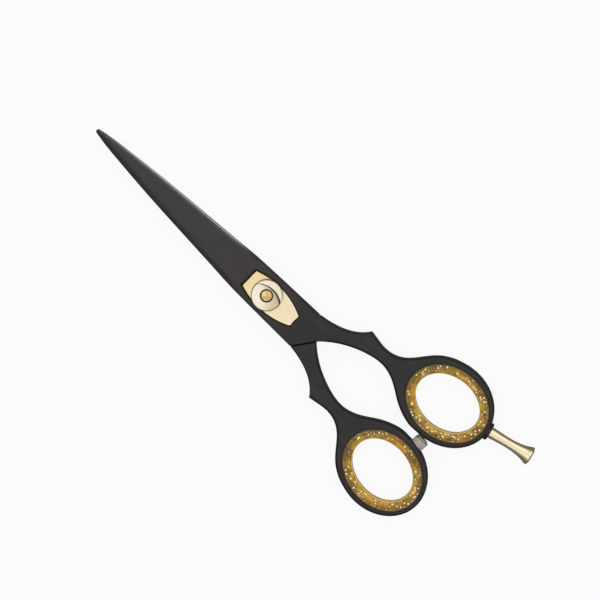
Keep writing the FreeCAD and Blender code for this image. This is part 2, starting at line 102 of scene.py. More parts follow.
class ShearsSizes(bpy.types.PropertyGroup):
    """Sizes of the dressing."""
    ring_tilt: angle("Ring tilt", 5.6, "Turn of each ring's long axis, outwards at its far end")
    insert_half_height: length("Insert half height", 3.0 * MM, "Insert, from its middle to its top")
    bead_width: length("Bead width", 0.62 * MM, "Raised bead along the insert's outer edge")
    dish_depth: length("Dish depth", 0.1 * MM, "Hollow between the bead and the opening")
    insert_wall: length("Insert wall", 3.05 * MM, "Insert, from its outer edge to the opening")
    flange_height: length("Flange height", 1.05 * MM, "Thickness of the insert's flanges")
    flange_lip: length("Flange lip", 1.15 * MM, "Width of the flanges beyond the sleeve")
    ring_segments: steps("Ring segments", 192, 24, "Steps round an insert, the dial and its scoop")
    rest_segments: steps("Rest segments", 72, 12, "Steps round the finger rest")
    blade_slim: level("Blade slimming", 0.045, "Share taken off the blades' width")
    slim_start: length("Slimming start", -19.0 * MM, "The full slimming begins here, from the pivot")
    slim_blend: length("Slimming blend", 11.0 * MM, "Length over which the slimming eases in")
    dial_crown: length("Dial crown", 0.2 * MM, "Doming of the dial")
    dial_rim: length("Dial rim", 0.48 * MM, "Rounding of the dial's rim")
    dial_well: length("Dial well", 1.85 * MM, "Radius of the well round the keeper")
    dial_bore: length("Dial bore", 1.29 * MM, "Radius of the dial's thread")
    dial_key: length("Dial clearance", 2.12 * MM, "Radius of the clearance round the stud")
    dial_recess: length("Dial recess", 3.35 * MM, "Radius of the recess for the washer")
    scoop_radius: length("Scoop radius", 6.2 * MM, "Arc that bounds the scoop")
    scoop_offset: length("Scoop offset", 3.9 * MM, "Centre of that arc from the dial's axis")
    scoop_shallow: length("Scoop shallow end", 0.12 * MM, "Depth of the scoop at its tip side end")
    scoop_deep: length("Scoop deep end", 0.9 * MM, "Depth of the scoop at its ring side end")
    scoop_slope: angle("Scoop wall", 32.0, "Slope of the scoop's wall, from upright")
    rest_length: length("Rest length", 13.4 * MM, "Finger rest beyond the face of its boss")
    rest_base: length("Rest base", 1.68 * MM, "Radius of the rest at the boss")
    rest_waist: length("Rest waist", 1.44 * MM, "Radius of the rest at its waist")
    rest_flare: length("Rest flare", 2.9 * MM, "Radius of the rest at its end")
    rest_rim: length("Rest rim", 0.42 * MM, "Rounding of the rim at the rest's end")
    rest_dome: length("Rest dome", 0.35 * MM, "Doming of the rest's end")
    rest_spigot: length("Rest spigot", 1.2 * MM, "Radius of the spigot inside the boss")
    rest_spigot_length: length("Rest spigot length", 1.9 * MM, "Length of the spigot inside the boss")
    flake: length("Flake", 0.56 * MM, "Width of the larger glitter flakes")
    flake_spacing: length("Flake spacing", 0.8 * MM, "Distance between the larger glitter flakes")
    bare_end: length("Bare steel end", -13.0 * MM, "End of the bare steel on the inner faces, from the pivot")


class ShearsColours(bpy.types.PropertyGroup):
    """Colours of the finishes, and of the light and shade painted on them."""
    coat: colour("Coat", (0.036, 0.0345, 0.0325), "Satin black coating")
    coat_warm: colour("Warm coat", (0.039, 0.032, 0.031), "Coating near the pivot")
    coat_handle: colour("Handle coat", (0.022, 0.021, 0.020), "Coating on the handles")
    # painted shade: the coat's darkest colour, for rounded edges, steep walls, the pocket and the spine; also
    # the dark brushed streaks on the handles
    coat_shade_and_streak: colour("Edge coat", (0.008, 0.007, 0.006), "Coating on rounded edges and walls")
    coat_cloud: colour("Clouded coat", (0.055, 0.054, 0.052), "Coating where it is paler")
    coat_brushed: colour("Brushed coat", (0.044, 0.042, 0.040), "Paler brushed streaks on the handles")
    # painted light: paler coat on the blades' bevel, which faces +Y
    coat_lit_bevel: colour("Flank coat", (0.09, 0.09, 0.087), "Coating on the bevel behind the cutting edge")
    steel: colour("Steel", (0.42, 0.415, 0.405), "Ground steel")
    steel_light: colour("Light steel", (0.52, 0.51, 0.50), "Turned steel where it is lightest")
    gold: colour("Gold", (0.90, 0.76, 0.52), "Polished gold of the plate and the finger rest")
    gold_yellow: colour("Yellow gold", (0.88, 0.70, 0.38), "Polished gold at the plate's tip side end")
    gold_pale: colour("Pale gold", (0.88, 0.79, 0.66), "Polished gold of the dial")
    # painted shade on the dial's scoop, towards the ring side
    gold_scoop_shade: colour("Olive gold", (0.58, 0.49, 0.30), "Polished gold of the dial towards the ring side")
    # painted shade in the well round the keeper, along the scoop's step and round the dial's rim
    gold_well_shade: colour("Well", (0.09, 0.05, 0.015), "Gold in the well round the keeper")
    gold_edge: colour("Gold edge", (0.12, 0.07, 0.02), "Polished gold seen at a shallow angle")
    gold_deep: colour("Deep gold", (0.62, 0.42, 0.17), "Satin gold of the keeper")
    resin_dark: colour("Dark resin", (0.22, 0.125, 0.011), "Amber resin where it is darkest")
    resin_light: colour("Light resin", (0.58, 0.34, 0.022), "Amber resin where it is lightest")
    resin_shade: colour("Resin shade", (0.11, 0.06, 0.008), "Resin in the groove inside the bead")
    resin_warm: colour("Warm resin", (0.72, 0.29, 0.012), "Orange streaks in the resin")
    # painted shadow where the insert meets the ring
    resin_edge_shadow: colour("Resin outline", (0.03, 0.018, 0.006), "Resin where it meets the ring")
    # painted highlight along the bead at the insert's outer edge
    resin_bead_highlight: colour("Resin bead", (0.40, 0.31, 0.10), "Bead along the insert's outer edge")
    # painted glow of light coming through the resin at the opening
    resin_glow: colour("Thin resin", (0.95, 0.70, 0.22), "Resin at the opening, where light comes through it")
    flake: colour("Flake", (1.0, 0.86, 0.52), "Glitter flakes")
    flake_dark: colour("Dark flake", (0.80, 0.52, 0.16), "Glitter flakes that shine less")
    silicone: colour("Silicone", (0.66, 0.58, 0.57), "Cloudy silicone")
    silicone_shade: colour("Silicone shade", (0.44, 0.44, 0.37), "Cloudy silicone where it is denser")
    # darker band near the bumper's end that meets the ring
    silicone_dark_band: colour("Silicone seam", (0.12, 0.10, 0.10), "Seam round the bumper")
    nylon: colour("Nylon", (0.62, 0.60, 0.54), "Natural nylon of the bush")
    slip: colour("Slip washer", (0.10, 0.10, 0.11), "Slippery plastic of the washers")


class StudioSettings(bpy.types.PropertyGroup):
    """Camera and light."""
    view_centre: FloatVectorProperty(name="View centre", description="Point in the middle of the picture",
                                     default=(7.83 * MM, 5.21 * MM, 3.0 * MM), subtype="TRANSLATION")
    view_width: length("View width", 170.8 * MM, "Width of what the camera sees, at the view centre")
    distance: length("Camera distance", 1.5, "Camera to view centre")
    tilt: angle("Camera tilt", 6.5, "Camera away from straight above")
    heading: angle("Camera heading", 106.9, "Direction from the view centre in which the camera stands")
    roll: angle("Picture turn", 44.15, "Direction of the picture's right side")
    lamp_length: length("Lamp length", 1.7, "Softboxes, along the shears")
    lamp_width: length("Lamp width", 1.0, "Softboxes, across the shears")
    lamp_height: length("Lamp height", 0.85, "Softboxes above the floor")
    lamp_gap: length("Lamp gap", 0.14, "Between the two softboxes")
    lamp_shift: length("Lamp shift", 0.03, "Middle of the gap, towards the finger ring's side")
    lamp_level: level("Lamp level", 0.58, "Brightness of the softboxes, 1 is white")
    room_level: level("Room level", 0.55, "Brightness of the room overhead")
    room_lean: level("Room lean", 0.25, "How much brighter the room is on the finger ring's side")
    horizon: level("Wall level", 0.08, "Brightness of the room at the horizon")
    floor_white: level("Floor white", 0.91, "Share of plain white in the floor")
    floor_gloss: level("Floor in gloss", 0.15, "Level of that white in reflections")


# ---- Shader maths --------------------------------------------------------------------------------------
class Number:
    """A shader value. Python's operators on it add Math nodes."""

    def __init__(self, finish, socket):
        self.finish = finish
        self.socket = socket

    def maths(self, operation, *values):
        made = self.finish.node("ShaderNodeMath", {"operation": operation}, dict(enumerate(values)))
        return Number(self.finish, made.outputs[0])

    def __add__(self, other):
        return self.maths("ADD", self, other)

    __radd__ = __add__

    def __sub__(self, other):
        return self.maths("SUBTRACT", self, other)

    def __rsub__(self, other):
        return self.maths("SUBTRACT", other, self)

    def __mul__(self, other):
        return self.maths("MULTIPLY", self, other)

    __rmul__ = __mul__

    def __truediv__(self, other):
        return self.maths("DIVIDE", self, other)

    def __pow__(self, other):
        return self.maths("POWER", self, other)

    def __abs__(self):
        return self.maths("ABSOLUTE", self)

    def sine(self):
        return self.maths("SINE", self)

    def ramp(self, low, high):
        """0 below low, 1 above high, and smooth between. The ends may be given in either order."""
        made = self.finish.node("ShaderNodeMapRange", {"interpolation_type": "SMOOTHSTEP"},
                                {"Value": self, "From Min": low, "From Max": high})
        return Number(self.finish, made.outputs[0])


class Finish:
    """One material and the nodes in it. Lengths in its patterns are in millimetres."""

    def __init__(self, name):
        self.material = bpy.data.materials.new(name)
        self.material.use_nodes = True
        self.tree = self.material.node_tree
        self.tree.nodes.clear()

    def node(self, kind, settings=None, sockets=None):
        """Adds a node: its settings first, then the values or links of its sockets."""
        made = self.tree.nodes.new(kind)
        for key, value in (settings or {}).items():
            setattr(made, key, value)
        for key, value in (sockets or {}).items():
            self.feed(made, key, value)
        return made

    def feed(self, made, key, value):
        known = {socket.identifier: socket for socket in made.inputs}
        target = known[key] if key in known else made.inputs[key]
        if isinstance(value, Number):
            self.tree.links.new(value.socket, target)
        elif isinstance(value, bpy.types.NodeSocket):
            self.tree.links.new(value, target)
        elif isinstance(value, (tuple, list)) and len(target.default_value) == 4:
            target.default_value = (*value, 1.0)
        else:
            target.default_value = value

    def place(self):
        """The point on the piece, in millimetres."""
        object_place = self.node("ShaderNodeTexCoord").outputs["Object"]
        return self.node("ShaderNodeVectorMath", {"operation": "SCALE"},
                         {"Vector": object_place, "Scale": 1 / MM}).outputs["Vector"]

    def parts(self, vector):
        made = self.node("ShaderNodeSeparateXYZ", {}, {"Vector": vector})
        return [Number(self, made.outputs[axis]) for axis in range(3)]

    def radius(self, vector):
        """Distance from the pivot axis."""
        x, y, z = self.parts(vector)
        return (x * x + y * y) ** 0.5

    def stretched(self, vector, scale):
        return self.node("ShaderNodeMapping", {}, {"Vector": vector, "Scale": scale}).outputs["Vector"]

    def facing(self):
        """Direction of the surface, as three parts."""
        return self.parts(self.node("ShaderNodeTexCoord").outputs["Normal"])

    def noise(self, vector, scale, detail=2.0, roughness=0.5):
        made = self.node("ShaderNodeTexNoise", {}, {"Vector": vector, "Scale": scale, "Detail": detail,
                                                    "Roughness": roughness})
        return Number(self, made.outputs[0])

    def cells(self, vector, scale):
        """Distance from the nearest of some scattered points, and a random value for each."""
        made = self.node("ShaderNodeTexVoronoi", {"feature": "F1"}, {"Vector": vector, "Scale": scale})
        random = self.node("ShaderNodeSeparateColor", {}, {"Color": made.outputs["Color"]})
        return Number(self, made.outputs["Distance"]), Number(self, random.outputs[0])

    def mix(self, factor, first, second):
        made = self.node("ShaderNodeMix", {"data_type": "RGBA"},
                         {"Factor_Float": factor, "A_Color": first, "B_Color": second})
        return made.outputs[2]

    def bump(self, height, depth):
        """Normal of a surface whose height runs from 0 to 1 over a depth in millimetres."""
        return self.node("ShaderNodeBump", {}, {"Height": height, "Strength": 1.0,
                                                "Distance": depth * MM}).outputs["Normal"]

    def shine(self, **sockets):
        """Closes the material with a Principled shader. Underscores in the names stand for spaces."""
        named = {key.replace("_", " "): value for key, value in sockets.items()}
        shader = self.node("ShaderNodeBsdfPrincipled", {}, named)
        self.node("ShaderNodeOutputMaterial", {}, {"Surface": shader.outputs[0]})
        return self.material


# ---- Finishes ------------------------------------------------------------------------------------------
def coat_shade(finish, place):
    """Painted shade on the coating: on edges and steep walls, in the plate's pocket and along the spine."""
    x, y, z = finish.parts(place)
    sideways, upward = finish.facing()[1:]
    steep = sideways.ramp(-0.08, -0.24)
    rounded = abs(upward).ramp(0.97, 0.7) * x.ramp(-12.0, 0.0) * 0.5
    spine = 0.00076 * x * x - 0.024 * x - 5.8           # the upper blade's outline follows this curve
    band = (y - spine).ramp(2.1, 0.9) * x.ramp(-4.0, -12.0) * 0.85
    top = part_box("finger_blade")[1].z / MM
    pocket = z.ramp(top - 0.15, top - 0.3) * z.ramp(top - 1.2, top - 1.0)
    pocket = pocket * abs(x - 2.0).ramp(11.2, 11.0) * abs(y).ramp(4.9, 4.7)
    shade = steep.maths("MAXIMUM", steep, rounded)
    shade = shade.maths("MAXIMUM", shade, band)
    return shade.maths("MAXIMUM", shade, pocket)


def coat_colour(finish, place, look, cloud):
    """The coating: warmer near the pivot and brushed on the handles, with painted shade on edges and walls
    and painted light on the bevel of the blades.
    """
    x = finish.parts(place)[0]
    warm = x.ramp(-26.0, -10.0) * x.ramp(12.0, 4.0)
    coat = finish.mix(warm, tuple(look.coat), tuple(look.coat_warm))
    coat = finish.mix(cloud.ramp(0.42, 0.72) * 0.22, coat, tuple(look.coat_cloud))
    coat = finish.mix(x.ramp(2.0, 12.0), coat, tuple(look.coat_handle))
    brushed = finish.noise(finish.stretched(place, (0.12, 0.6, 0.6)), 1.0, 4.0)
    handle = x.ramp(8.0, 18.0) * 0.4
    coat = finish.mix(brushed.ramp(0.5, 0.75) * handle, coat, tuple(look.coat_brushed))
    coat = finish.mix(brushed.ramp(0.5, 0.28) * handle, coat, tuple(look.coat_shade_and_streak))
    # painted shade on edges, steep walls, the plate's pocket and along the spine
    coat = finish.mix(coat_shade(finish, place), coat, tuple(look.coat_shade_and_streak))
    # painted light: paler where the blade's bevel faces +Y
    bevel = finish.facing()[1].ramp(0.4, 0.75) * x.ramp(-8.0, -18.0)
    return finish.mix(bevel, coat, tuple(look.coat_lit_bevel))


def black_coat(look, sizes):
    """Satin black coating, and bare ground steel on the inner faces of the blades."""
    finish = Finish("black_coat")
    place = finish.place()
    x, y, z = finish.parts(place)
    cloud = finish.noise(place, 0.16, 3.0)
    grain = finish.noise(place, 7.0, 2.0)
    inner = abs(z - MID_Z / MM).ramp(0.26, 0.2)
    end = sizes.bare_end / MM
    bare = abs(finish.facing()[2]).ramp(0.9, 0.97) * inner * x.ramp(end + 3.0, end - 3.0)
    scratches = finish.noise(finish.stretched(place, (0.7, 14.0, 14.0)), 1.0, 3.0)
    steel = finish.mix(scratches, tuple(0.8 * part for part in look.steel), tuple(look.steel))
    coated_rough = 0.42 + 0.1 * grain + 0.06 * cloud
    steel_rough = 0.2 + 0.16 * scratches
    height = grain * (1 - bare) + scratches * bare * 0.5
    return finish.shine(
        Base_Color=finish.mix(bare, coat_colour(finish, place, look, cloud), steel),
        Metallic=bare,
        Roughness=coated_rough * (1 - bare) + steel_rough * bare,
        Normal=finish.bump(height, 0.006),
        Specular_IOR_Level=0.3,
    )


def gold_finish(name, look, rough, depth, tone, marks):
    """Polished gold plating; tone gives its colour, and marks the height of its polishing marks."""
    finish = Finish(name)
    place = finish.place()
    haze = finish.noise(place, 0.5, 2.0)
    lines = marks(finish, place)
    return finish.shine(
        Base_Color=finish.mix(haze.ramp(0.35, 0.75) * 0.12, tone(finish, place, look), tuple(look.gold_deep)),
        Metallic=1.0,
        Roughness=rough + 0.07 * haze + 0.05 * lines,
        Normal=finish.bump(lines, depth),
        Specular_Tint=tuple(look.gold_edge),
    )


def plain_tone(finish, place, look):
    return tuple(look.gold)


def plate_tone(finish, place, look):
    """The plate is yellower at its tip side end."""
    x = finish.parts(place)[0]
    return finish.mix(x.ramp(-5.0, 5.0), tuple(look.gold_yellow), tuple(look.gold))


def dial_tone(sizes, rim):
    """Pale gold, with painted shade: olive towards the ring side inside the scoop's arc, deep in the well,
    along the steps and round the rim.
    """
    centre, arc, bore = sizes.scoop_offset / MM, sizes.scoop_radius / MM, sizes.dial_well / MM

    def tone(finish, place, look):
        x, y, z = finish.parts(place)
        inside = ((x * x + (y + centre) * (y + centre)) ** 0.5).ramp(arc + 0.1, arc - 0.1)
        # painted shade: olive in the scoop, towards the ring side
        olive = (x + 0.3 * y).ramp(-0.8, 3.6) * inside * 0.9
        reach = finish.radius(place)
        # painted shade in the well round the keeper
        well = reach.ramp(bore + 0.13, bore)
        upward = abs(finish.facing()[2])
        # painted shade along the scoop's step and round the dial's rim
        step = upward.ramp(0.97, 0.85) * reach.ramp(rim - 0.3, rim - 0.5) * 0.7
        border = reach.ramp(rim - 0.4, rim - 0.05) * upward.ramp(0.05, 0.35) * 0.5
        polished = finish.mix(olive, tuple(look.gold_pale), tuple(look.gold_scoop_shade))
        polished = finish.mix(step.maths("MAXIMUM", step, border), polished, tuple(look.gold_well_shade))
        return finish.mix(well, polished, tuple(look.gold_well_shade))
    return tone


def keeper_tone(finish, place, look):
    mottled = finish.noise(place, 0.9, 2.0).ramp(0.4, 0.62)
    return finish.mix(mottled, tuple(look.gold_deep), tuple(look.gold_yellow))


def lengthwise_lines(finish, place):
    return finish.noise(finish.stretched(place, (0.25, 9.0, 9.0)), 1.0, 2.0)


def turned_lines(finish, place):
    """Fine rings about the pivot axis."""
    return (finish.radius(place) * 38.0 + 2.0 * finish.noise(place, 0.4)).sine() * 0.5 + 0.5


def hammered(finish, place):
    return finish.noise(place, 1.3, 1.0)


def glitter_resin(look, sizes, half_length, half_width, middle):
    """Amber resin with scattered flakes that shine like metal, for both inserts, which mirror each other;
    with painted shade in the groove, a painted shadow where it meets the ring, a painted highlight along the
    bead and a painted glow at the opening.
    """
    finish = Finish("glitter_resin")
    place = finish.place()
    x, y, z = finish.parts(place)
    along, across = x - middle.x / MM, abs(y) - abs(middle.y) / MM
    lean, straight = math.sin(sizes.ring_tilt), math.cos(sizes.ring_tilt)
    long_way = (along * straight + across * lean) / (half_length / MM)
    short_way = (across * straight - along * lean) / (half_width / MM)
    share = (long_way * long_way + short_way * short_way) ** 0.5
    inwards = (1 - share) * (0.5 * (half_length + half_width) / MM)
    bead = sizes.bead_width / MM
    # painted shadow at the insert's outer edge, where it meets the ring
    outline = inwards.ramp(1.05, 0.1)
    # painted highlight along the bead's crest
    bead_highlight = inwards.ramp(0.3, 0.5) * inwards.ramp(bead + 0.25, bead)
    groove = inwards.ramp(bead, bead + 0.2) * inwards.ramp(2.4, bead + 0.3)
    cloud = finish.noise(place, 0.34, 3.0, 0.6)
    streak = finish.noise(place, 0.17, 2.0)
    resin = finish.mix(cloud.ramp(0.38, 0.62), tuple(look.resin_dark), tuple(look.resin_light))
    resin = finish.mix(streak.ramp(0.5, 0.64) * 0.6, resin, tuple(look.resin_warm))
    resin = finish.mix(groove * 0.7, resin, tuple(look.resin_shade))
    resin = finish.mix(bead_highlight * 0.35, resin, tuple(look.resin_bead_highlight))
    resin = finish.mix(outline, resin, tuple(look.resin_edge_shadow))
    # painted glow on the opening's inner wall, where light would come through the resin
    glow = abs(finish.facing()[2]).ramp(0.75, 0.35) * inwards.ramp(2.0, 2.6)
    glow = glow * (0.35 + 0.65 * abs(z - MID_Z / MM).ramp(0.9, 1.7))
    resin = finish.mix(glow, resin, tuple(look.resin_glow))
    spacing = sizes.flake_spacing / MM
    reach, chance = finish.cells(place, 1 / spacing)
    radius = 0.5 * sizes.flake / MM / spacing
    crowd = finish.noise(place, 0.2, 1.0).ramp(0.42, 0.58)
    large = reach.ramp(radius * 1.3, radius * 0.7) * (chance + 0.5 * crowd).ramp(0.76, 0.8)
    near, luck = finish.cells(place, 3.2)
    fine = near.ramp(0.45, 0.25) * (luck + 0.35 * crowd).ramp(0.79, 0.85) * 0.7
    flakes = large.maths("MAXIMUM", large, fine) * inwards.ramp(0.5, 0.8) * (1 - 0.7 * glow)
    tone = finish.mix(chance, tuple(look.flake_dark), tuple(look.flake))
    return finish.shine(
        Base_Color=finish.mix(flakes, resin, tone),
        Metallic=flakes * 0.9,
        Roughness=0.4 - 0.1 * flakes,
        Specular_IOR_Level=0.25,
        Coat_Weight=0.15,
        Coat_Roughness=0.12,
        Normal=finish.bump(large * 0.5 + streak, 0.02),
    )


def cloudy_silicone(look, foot, axis):
    """Cloudy silicone, softly mottled, with a darker band near the end that meets the ring."""
    finish = Finish("clear_silicone")
    place = finish.place()
    x, y, z = finish.parts(place)
    cloud = finish.noise(place, 0.55, 3.0)
    fine = finish.noise(place, 3.0, 2.0)
    height = (x - foot.x / MM) * axis.x + (y - foot.y / MM) * axis.y
    dark_band = height.ramp(-1.15, -0.9) * height.ramp(-0.4, -0.65)
    body = finish.mix(cloud.ramp(0.42, 0.64), tuple(look.silicone), tuple(look.silicone_shade))
    return finish.shine(
        Base_Color=finish.mix(dark_band * 0.6, body, tuple(look.silicone_dark_band)),
        Roughness=0.36 + 0.12 * fine,
        Transmission_Weight=0.15,
        IOR=1.41,
        Normal=finish.bump(cloud, 0.05),
    )


def turned_steel(look):
    """Plain steel with the fine rings of a lathe."""
    finish = Finish("plain_steel")
    place = finish.place()
    lines = turned_lines(finish, place)
    return finish.shine(
        Base_Color=finish.mix(finish.noise(place, 0.8), tuple(look.steel_light), tuple(look.steel)),
        Metallic=1.0,
        Roughness=0.26 + 0.12 * lines,
        Normal=finish.bump(lines, 0.002),
    )


def plain_plastic(name, base, rough):
    """Moulded plastic with a faint grain."""
    finish = Finish(name)
    place = finish.place()
    grain = finish.noise(place, 4.0, 2.0)
    dark = tuple(0.8 * part for part in base)
    return finish.shine(
        Base_Color=finish.mix(finish.noise(place, 0.7), tuple(base), dark),
        Roughness=rough + 0.12 * grain,
        Normal=finish.bump(grain, 0.008),
    )


def pale_floor(studio):
    """Pale floor that shows as white, less so in reflections, and keeps part of the shadow on it."""
    finish = Finish("pale_floor")
    rays = finish.node("ShaderNodeLightPath")
    seen = Number(finish, rays.outputs["Is Camera Ray"]) + Number(finish, rays.outputs["Is Transmission Ray"])
    mirrored = Number(finish, rays.outputs["Is Glossy Ray"])
    matt = finish.node("ShaderNodeBsdfDiffuse", {}, {"Color": (0.8, 0.8, 0.8)})
    white = finish.node("ShaderNodeEmission", {}, {"Color": (1.0, 1.0, 1.0),
                                                   "Strength": seen + mirrored * studio.floor_gloss})
    mixed = finish.node("ShaderNodeMixShader", {}, {0: (seen + mirrored) * studio.floor_white,
                                                    1: matt.outputs[0], 2: white.outputs[0]})
    finish.node("ShaderNodeOutputMaterial", {}, {"Surface": mixed.outputs[0]})
    return finish.material


# ---- Modelling helpers ---------------------------------------------------------------------------------
def select_only(piece):
    if bpy.context.mode != "OBJECT":
        bpy.ops.object.mode_set(mode="OBJECT")
    for other in bpy.context.view_layer.objects:
        other.select_set(False)
    piece.select_set(True)
    bpy.context.view_layer.objects.active = piece


def dress(piece, node, material):
    """Gives a new piece its finish, and lets it stand for a node on that node's body."""
    piece.data.materials.clear()
    piece.data.materials.append(material)
    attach(piece, body_of(node))
    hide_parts(node)
    return piece


def body_of(node):
    bodies = frame["record"]["behaviour"]["bodies"]
    return next(body for body, nodes in bodies.items() if node in nodes)


def smooth(piece, degrees=32.0):
    """Smooth shading that keeps flat faces flat and real edges sharp."""
    select_only(piece)
    bpy.ops.object.shade_smooth_by_angle(angle=math.radians(degrees))
    weighted = piece.modifiers.new("flat_faces", "WEIGHTED_NORMAL")
    weighted.keep_sharp = True
    bpy.ops.object.modifier_apply(modifier=weighted.name)


def round_corners(piece, radius):
    """Rounds the upright edges at the end of a plate that lies furthest along X."""
    far = max(vertex.co.x for vertex in piece.data.vertices)
    corners = piece.vertex_groups.new(name="corners")
    at_end = [vertex.index for vertex in piece.data.vertices if vertex.co.x > far - 0.03 * MM]
    corners.add(at_end, 1.0, "REPLACE")
    rounded = piece.modifiers.new("rounded_corners", "BEVEL")
    rounded.width = radius
    rounded.segments = 5
    rounded.limit_method = "VGROUP"
    rounded.vertex_group = corners.name
    bpy.ops.object.modifier_apply(modifier=rounded.name)


def machined(node, name, edge=0.0, corner=0.0):
    """A merged copy of a node's mesh with smooth curves.

    Its sharp edges stay crisp, or are broken by edge; corner rounds the upright edges at its far end.
    """
    piece = bpy.data.objects.new(name, frame["nodes"][node].data.copy())
    bpy.context.scene.collection.objects.link(piece)
    select_only(piece)
    bpy.ops.object.mode_set(mode="EDIT")
    bpy.ops.mesh.select_all(action="SELECT")
    bpy.ops.mesh.customdata_custom_splitnormals_clear()
    bpy.ops.mesh.remove_doubles(threshold=0.0005 * MM)
    if edge:
        bpy.ops.mesh.dissolve_limited(angle_limit=math.radians(0.5))
    bpy.ops.object.mode_set(mode="OBJECT")
    if corner:
        round_corners(piece, corner)
    if edge:
        broken = piece.modifiers.new("broken_edges", "BEVEL")
        broken.width = edge
        broken.segments = 2
        broken.angle_limit = math.radians(35.0)
        bpy.ops.object.modifier_apply(modifier=broken.name)
    smooth(piece)
    return piece


def lathed(name, rings, segments, closed):
    """Extrudes a circle through rings of (half length, half width, height).

    A closed run ends on its first ring; an open one is drawn together to a point at both ends.
    """
    bpy.ops.mesh.primitive_circle_add(vertices=segments, radius=1.0, fill_type="NOTHING")
    piece = bpy.context.object
    piece.name = name
    bpy.ops.object.mode_set(mode="EDIT")
    bpy.ops.mesh.select_all(action="SELECT")
    last = (1.0, 1.0, 0.0)
    for step, ring in enumerate(rings):
        if step:
            bpy.ops.mesh.extrude_region_move()
        bpy.ops.transform.translate(value=(0.0, 0.0, ring[2] - last[2]))
        bpy.ops.transform.resize(value=(ring[0] / last[0], ring[1] / last[1], 1.0),
                                 center_override=(0.0, 0.0, ring[2]))
        last = ring
    if not closed:
        bpy.ops.mesh.merge(type="CENTER")
        bpy.ops.mesh.select_all(action="DESELECT")
        bpy.ops.mesh.select_non_manifold()
        bpy.ops.mesh.merge(type="CENTER")
    bpy.ops.mesh.select_all(action="SELECT")
    bpy.ops.mesh.remove_doubles(threshold=0.002 * MM)
    bpy.ops.mesh.normals_make_consistent(inside=False)
    bpy.ops.object.mode_set(mode="OBJECT")
    return piece


def settle(piece, place, turn):
    """Turns a piece, puts it in its place, and leaves its object at the origin."""
    piece.rotation_mode = "QUATERNION"
    piece.rotation_quaternion = turn
    piece.location = place
    select_only(piece)
    bpy.ops.object.transform_apply(location=True, rotation=True, scale=True)


def ring_axes(node, tilt):
    """Half axes of the tilted oval that just fills a node's box, and its middle."""
    low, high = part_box(node)
    long_part, short_part = math.cos(tilt) ** 2, math.sin(tilt) ** 2
    across_x, across_y = ((high.x - low.x) / 2) ** 2, ((high.y - low.y) / 2) ** 2
    spread = long_part - short_part
    half_length = math.sqrt((across_x * long_part - across_y * short_part) / spread)
    half_width = math.sqrt((across_y * long_part - across_x * short_part) / spread)
    return half_length, half_width, (low + high) / 2


def insert_profile(sizes):
    """Section of an insert's upper half: distance in from the outer edge, and height above the middle."""
    top = sizes.insert_half_height
    bead, wall, dish = sizes.bead_width, sizes.insert_wall, sizes.dish_depth
    under = top - sizes.flange_height
    outer = [(sizes.flange_lip, 0.0), (sizes.flange_lip, under), (0.02 * MM, under)]
    edge = [(0.0, under + 0.05 * MM), (0.0, top - 0.3 * MM)]
    crest = []
    for degrees in range(20, 91, 14):
        turn = math.radians(degrees)
        crest.append((bead * (0.5 - 0.5 * math.cos(turn)), top - 0.3 * MM * (1 - math.sin(turn))))
    groove = [(bead * 0.75, top - 0.25 * dish), (bead, top - dish), (bead * 1.3, top - dish)]
    slope = []
    for step in range(1, 13):
        run = math.radians(90.0 * step / 12)
        reach = wall - bead * 1.3
        slope.append((bead * 1.3 + reach * math.sin(run) ** 0.85,
                      (top - dish) * max(0.0, math.cos(run)) ** 0.32))
    return outer + edge + crest + groove + slope


def dial_profile(sizes, radius, low, rim):
    """Rings of the dial, from its thread bore over the well, the crown and the rim to the washer recess."""
    bore, well, edge = sizes.dial_bore, sizes.dial_well, sizes.dial_rim
    recess, key = sizes.dial_recess, sizes.dial_key
    chamfer = 0.1 * MM

    def crown(reach):
        return rim + sizes.dial_crown * (1 - (reach / radius) ** 2)

    points = [(bore, low + 0.73 * MM), (bore, rim - 0.7 * MM), (well, rim - 0.7 * MM),
              (well, crown(well) - chamfer), (well + chamfer, crown(well))]
    inner = radius - edge
    for step in range(1, 8):
        reach = well + (inner - well) * step / 8
        points.append((reach, crown(reach)))
    for step in range(9):
        turn = math.radians(90.0 * step / 8)
        points.append((inner + edge * math.sin(turn), crown(inner) - edge * (1 - math.cos(turn))))
    points += [(radius, low + chamfer), (radius - chamfer, low), (recess, low), (recess, low + 0.3 * MM),
               (key, low + 0.3 * MM), (key, low + 0.73 * MM), points[0]]
    return [(reach, reach, height) for reach, height in points]


def scoop_cutter(sizes, radius, low, rim):
    """Block over the scoop's sloping floor, with a cone taken out of it that leaves the scoop's wall."""
    across = 1.2 * radius
    fall = math.atan2(sizes.scoop_deep - sizes.scoop_shallow, 2 * across)
    half = 2 * MM
    floor = rim - (sizes.scoop_deep + sizes.scoop_shallow) / 2
    bpy.ops.mesh.primitive_cube_add(size=2.0, rotation=(0.0, fall, 0.0),
                                    scale=(1.5 * radius, 1.5 * radius, half),
                                    location=(half * math.sin(fall), 0.0, floor + half * math.cos(fall)))
    block = bpy.context.object
    spare = 1 * MM
    grow = math.tan(sizes.scoop_slope)
    bpy.ops.mesh.primitive_cone_add(vertices=sizes.ring_segments, depth=rim - low + 2 * spare,
                                    radius1=sizes.scoop_radius + grow * (rim - low + spare),
                                    radius2=sizes.scoop_radius - grow * spare,
                                    location=(0.0, -sizes.scoop_offset, (rim + low) / 2))
    carve(block, bpy.context.object)
    return block


def carve(piece, cutter):
    """Cuts one piece out of another and drops it."""
    select_only(piece)
    cut = piece.modifiers.new("cut", "BOOLEAN")
    cut.operation = "DIFFERENCE"
    cut.solver = "EXACT"
    cut.object = cutter
    bpy.ops.object.modifier_apply(modifier=cut.name)
    bpy.data.objects.remove(cutter, do_unlink=True)


